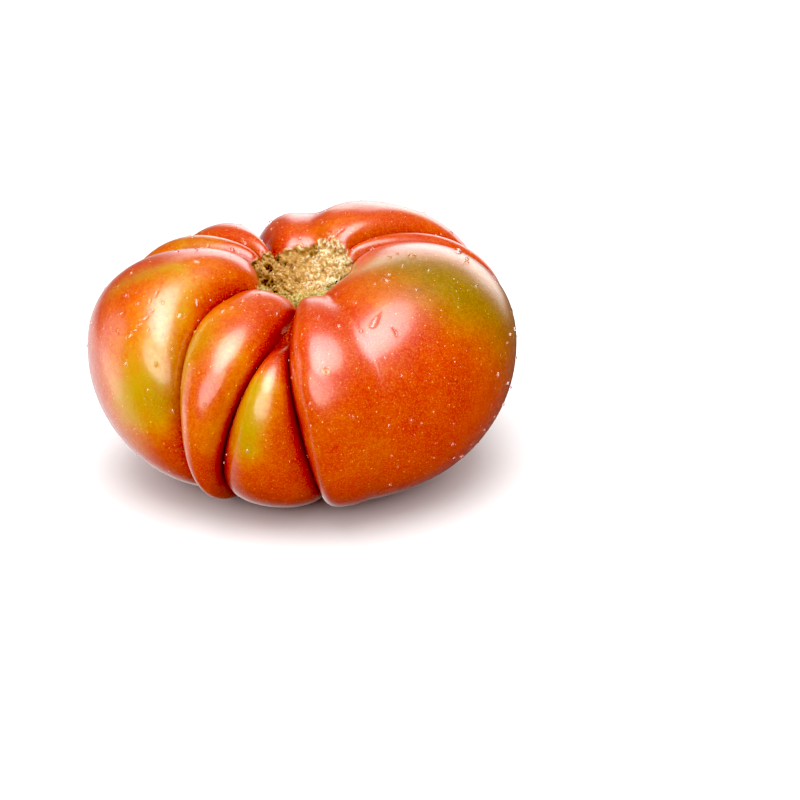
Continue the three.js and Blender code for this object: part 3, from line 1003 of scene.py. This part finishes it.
# %% Larger drops
WET_FADE = (1.05, 0.75)
NARROWEST = 0.05
DROPS = [
    (377, 319, 3.6, 7.5, 1.1, -0.35, 0.9),
    (394, 330, 1.0, 2.6, 0.5, 0.5, 0.3),
    (396, 333, 1.4, 3.0, 0.7, 0.0, 0.3),
    (181, 316, 3.2, 2.4, 0.9),
    (157, 293, 1.6, 3.8, 0.8, -0.2, 0.4),
    (150, 301, 1.4, 2.0, 0.6),
    (138, 304, 1.6, 1.6, 0.6),
    (197, 303, 1.7, 3.4, 0.7, -0.3),
    (199, 321, 1.4, 1.4, 0.5),
    (195, 332, 0.9, 1.2, 0.4),
    (156, 364, 1.4, 2.2, 0.7, 0.0, 0.3),
    (126, 296, 1.8, 1.4, 0.7),
    (121, 314, 1.4, 2.0, 0.6, -0.5, 0.3),
    (129, 337, 1.7, 2.6, 0.6, -0.6),
    (126, 364, 1.4, 2.2, 0.6, 0.0, 0.4),
    (118, 331, 1.0, 1.4, 0.5),
    (172, 350, 0.8, 1.3, 0.4),
    (189, 365, 1.1, 1.4, 0.5),
    (458, 252, 2.4, 2.2, 1.0),
    (467, 259, 1.3, 1.3, 0.6),
    (389, 427, 1.4, 2.2, 0.6),
    (339, 327, 1.3, 2.2, 0.7, 0.5),
    (385, 281, 3.6, 1.5, 0.8),
    (388, 275, 2.4, 1.2, 0.6),
    (355, 303, 2.4, 1.2, 0.6),
    (336, 283, 1.6, 1.8, 0.7),
    (375, 284, 1.2, 1.2, 0.4),
    (416, 290, 1.0, 1.4, 0.4),
    (358, 327, 1.0, 1.4, 0.4),
    (361, 331, 1.4, 1.4, 0.4),
    (340, 232, 1.4, 4.4, 0.7, -0.6),
    (244, 242, 2.2, 4.4, 0.9, 0.9, 0.5),
    (232, 250, 1.4, 2.4, 0.6, 0.9),
    (196, 262, 1.0, 3.0, 0.5, 0.8),
    (208, 246, 1.2, 1.8, 0.5),
    (258, 295, 1.0, 1.8, 0.5, 0.3),
    (243, 301, 1.2, 1.6, 0.5),
    (412, 256, 2.4, 1.4, 0.7),
    (372, 250, 2.4, 1.3, 0.6),
    (310, 405, 1.2, 2.0, 0.5),
    (262, 372, 1.0, 1.4, 0.4),
    (205, 405, 1.0, 1.4, 0.4),
    (134, 331, 1.1, 2.4, 0.5, -1.0),
    (140, 325, 1.0, 2.6, 0.5, -0.9),
    (146, 318, 1.2, 2.6, 0.5, -0.7),
    (152, 311, 1.0, 2.2, 0.4, -0.8),
    (163, 303, 1.0, 1.8, 0.4, -0.5),
    (148, 330, 1.0, 1.6, 0.4),
    (222, 312, 2.6, 2.2, 0.8, 0.6),
    (232, 308, 1.6, 1.4, 0.6),
]
wet = np.zeros(len(vertices))
for photo_x, photo_y, width, length, height, *rest in DROPS:
    lean, tail = (*rest, 0, 0)[:2]
    point, outward = skin_at(photo_x, photo_y)
    downhill, sideways = add_drop(point, outward, width * MM, length * MM, height * MM, lean, tail)
    offset = vertices - np.array(point)
    along = offset @ downhill / (length * MM / 2)
    narrowed = np.clip((1 + along) / 2, NARROWEST, 1) ** tail
    across = offset @ sideways / (width * MM / 2 * narrowed)
    near = np.linalg.norm(offset, axis=1) < length * MM
    wet = np.maximum(wet, ease(*WET_FADE, np.hypot(along, across)) * near)
add_mask("wet", wet)
print(len(DROPS), "larger drops")

# %% [markdown]
# Fine spray
#
# Between the drops lies a spray of tiny beads. They are drawn at random over the skin by area, and the
# scar and the underside are left dry.

# %% Fine spray
SPRAY_COUNT = 620
SPRAY_SIDES = 10
SPRAY_RINGS = 3
BEAD_SMALLEST = 0.40
BEAD_SPREAD = 0.90
BEAD_STRETCH = 0.5
BEAD_RISE = 0.45
DRY_CORK = 0.05
DRY_BELOW = 0.012

polygons = skin_mesh.polygons
areas = np.empty(len(polygons))
polygons.foreach_get("area", areas)
picked = chance.choice(len(polygons), size=SPRAY_COUNT, p=areas / areas.sum())
cork_at_vertex = with_ends(cork_mask, 1, 0)
placed = 0
for index in picked:
    face = polygons[index]
    dry = cork_at_vertex[face.vertices[0]] > DRY_CORK or face.center.z < DRY_BELOW
    size = (BEAD_SMALLEST + BEAD_SPREAD * chance.random() ** 3) * MM
    stretched = 1 + BEAD_STRETCH * chance.random()
    if not dry:
        add_drop(face.center.copy(), face.normal.copy(), size, size * stretched, size * BEAD_RISE,
                 sides=SPRAY_SIDES, rings=SPRAY_RINGS)
        placed += 1
drops, drops_mesh = add_mesh("water_drops", drop_vertices, drop_faces)
drops_mesh.shade_smooth()
drops.visible_shadow = False
drops.visible_diffuse = False
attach(drops, "root")
print(placed, "beads of spray")

# %% [markdown]
# Water
#
# Water is clear and perfectly smooth, so it shows only by what it bends and mirrors. The drops are left
# out of shadows and of light that bounces off the skin, because a real drop passes the light on to the
# skin below it, and a render finds too few of those paths. It bends light a little more here than its
# true 1.33, which draws the rims of small drops clearer, and a clear coat lifts their glints.

# %% Water material
new_material(drops_mesh, "water", {
    "Base Color": (1, 1, 1, 1), "Roughness": 0.0, "IOR": 1.38, "Transmission Weight": 1.0,
    "Coat Weight": 1.0, "Coat Roughness": 0.02, "Coat IOR": 1.8})

# %% [markdown]
# Floor
#
# The fruit stands on plain white ground, a big sheet that is stage and not part of it. The gloss doesn't
# see it, because a white floor in every lower half would turn the reds milky. The room below gives the
# gloss a fainter ground instead.

# %% Floor
FLOOR_HALF = 3.0
FLOOR_GREY = 0.70

corners = [(x * FLOOR_HALF, y * FLOOR_HALF, 0) for x, y in ((-1, -1), (1, -1), (1, 1), (-1, 1))]
floor, floor_mesh = add_mesh("floor", corners, [(0, 1, 2, 3)])
floor.visible_glossy = False
new_material(floor_mesh, "white_ground", {
    "Base Color": (FLOOR_GREY, FLOOR_GREY, FLOOR_GREY, 1), "Roughness": 0.9})

# %% [markdown]
# Light
#
# The highlights tell where the lights were: a large round soft box over the fruit, a panel low on the
# left and a small box at the front left. Each light is given by the brightness of its face, where 1 is
# the white of the picture, because that is what the wet skin mirrors. A highlight is much brighter than
# the floor's light tells, so three more faces are seen by the gloss alone. Two lie in the box above, the
# smaller one to make it brightest in the middle, and one at the front left, which draws the highlights
# of the front lobes out downward. Each row gives place, size, brightness and whether diffuse light sees it.

# %% Lights
HANGS_FROM = 1.0


def around(way, height, distance):
    """A place round the fruit, from its direction and height in degrees and its distance."""
    turn = math.radians(way)
    rise = math.radians(height)
    direction = Vector((math.cos(turn) * math.cos(rise), math.sin(turn) * math.cos(rise),
                        math.sin(rise)))
    return focus + direction * distance


LIGHTS = [
    ("overhead_box", (-0.02, -0.22, 1.2), (1.15, 1.30), 3.6, True),
    ("overhead_gleam", (-0.02, -0.22, 1.2), (1.02, 1.20), 7, False),
    ("overhead_hot_gleam", (-0.04, -0.22, 1.2), (0.72, 0.88), 13, False),
    ("front_left_gleam", around(-108, 33, 0.9), (1.15, 1.00), 3, False),
    ("left_panel", around(165, 0, 1.0), (0.60, 1.00), 1.2, True),
    ("front_left_box", around(-120, 25, 0.9), (0.75, 0.60), 1.5, True),
]
for name, location, size, brightness, diffuse in LIGHTS:
    data = bpy.data.lights.new(name, "AREA")
    data.shape = "ELLIPSE"
    data.size, data.size_y = size
    area = data.size * data.size_y * math.pi / 4
    data.energy = brightness * math.pi * area
    light = add_object(name, data)
    light.location = location
    if light.location.z < HANGS_FROM:
        light.rotation_euler = (focus - light.location).to_track_quat("-Z", "Y").to_euler()
    light.visible_camera = False
    light.visible_diffuse = diffuse
print(len(LIGHTS), "lights")

# %% [markdown]
# The room
#
# Everything round the fruit lights it, but its gloss doesn't mirror everything: a paper sweep rises
# behind, pale ground shows at the back left below, and the rest of the room is dim. So the world is an
# even white for diffuse light, and for mirrored rays it has those shapes. Without the dim sides the reds
# would turn milky. The camera itself sees plain white. The up part of a direction is the sine of its
# height, and an edge is given by the cosines of the angles between which the shape fades in.

# %% World
SWEEP_WAY = math.radians(73)
SWEEP_EDGE = (0.86, 0.98)
SWEEP_TOP = (math.sin(math.radians(28)), math.sin(math.radians(12)))
SWEEP_FOOT = (-0.20, 0.05)
GROUND_TOP = (0.0, -0.25)
GROUND_SHADE = (-0.9, -0.5)
GROUND_WAY = math.radians(135)
GROUND_EDGE = (0.50, 0.90)
GROUND_BRIGHTNESS = 0.9
SWEEP_BRIGHTNESS = 2.2
ROOM_BRIGHTNESS = 0.12
FILL_BRIGHTNESS = 1.4

world = bpy.data.worlds.new("studio")
world.use_nodes = True
tree = world.node_tree
direction = add_node(tree, "ShaderNodeTexCoord").outputs["Generated"]
level = add_node(tree, "ShaderNodeVectorMath", {0: direction, 1: (1, 1, 0)},
                 operation="MULTIPLY")
facing = add_node(tree, "ShaderNodeVectorMath", {0: level.outputs[0]}, operation="NORMALIZE")


def toward(way, edge):
    """1 for level directions near a way, eased to 0 away from it. edge holds the cosines of both."""
    unit = (math.cos(way), math.sin(way), 0)
    nearness = add_node(tree, "ShaderNodeVectorMath", {0: facing.outputs[0], 1: unit},
                        operation="DOT_PRODUCT")
    return map_range(tree, nearness.outputs["Value"], *edge)


behind = toward(SWEEP_WAY, SWEEP_EDGE)
up_part = add_node(tree, "ShaderNodeSeparateXYZ", {"Vector": direction}).outputs["Z"]
low = map_range(tree, up_part, *SWEEP_TOP)
above_floor = map_range(tree, up_part, *SWEEP_FOOT)
wall = math_node(tree, "MULTIPLY", low, above_floor)
sweep = math_node(tree, "MULTIPLY", behind, wall)
mirrored = math_node(tree, "MULTIPLY_ADD", sweep, SWEEP_BRIGHTNESS, ROOM_BRIGHTNESS)
below = map_range(tree, up_part, *GROUND_TOP)
aside = toward(GROUND_WAY, GROUND_EDGE)
ground = math_node(tree, "MULTIPLY", below, aside)
ground = math_node(tree, "MULTIPLY", ground, map_range(tree, up_part, *GROUND_SHADE))
mirrored = math_node(tree, "MULTIPLY_ADD", ground, GROUND_BRIGHTNESS, mirrored)
path = add_node(tree, "ShaderNodeLightPath")
strength = blend_values(tree, path.outputs["Is Glossy Ray"], FILL_BRIGHTNESS, mirrored)
seen = blend_values(tree, path.outputs["Is Camera Ray"], strength, 1.0)
tree.links.new(seen, tree.nodes["Background"].inputs["Strength"])
tree.nodes["Background"].inputs["Color"].default_value = (1, 1, 1, 1)
bpy.context.scene.world = world
print("world has", len(tree.nodes), "nodes")

# %% [markdown]
# The picture's contrast
#
# The photograph was printed strong, with deep blacks. The plain view transform keeps the colours as they
# are, and a raised black level deepens the shades like the print does.

# %% View
BLACK_LEVEL = 0.04
view = bpy.context.scene.view_settings
view.view_transform = "Standard"
view.use_curve_mapping = True
view.curve_mapping.black_level = [BLACK_LEVEL] * 3
view.curve_mapping.update()
print("view transform is", view.view_transform)
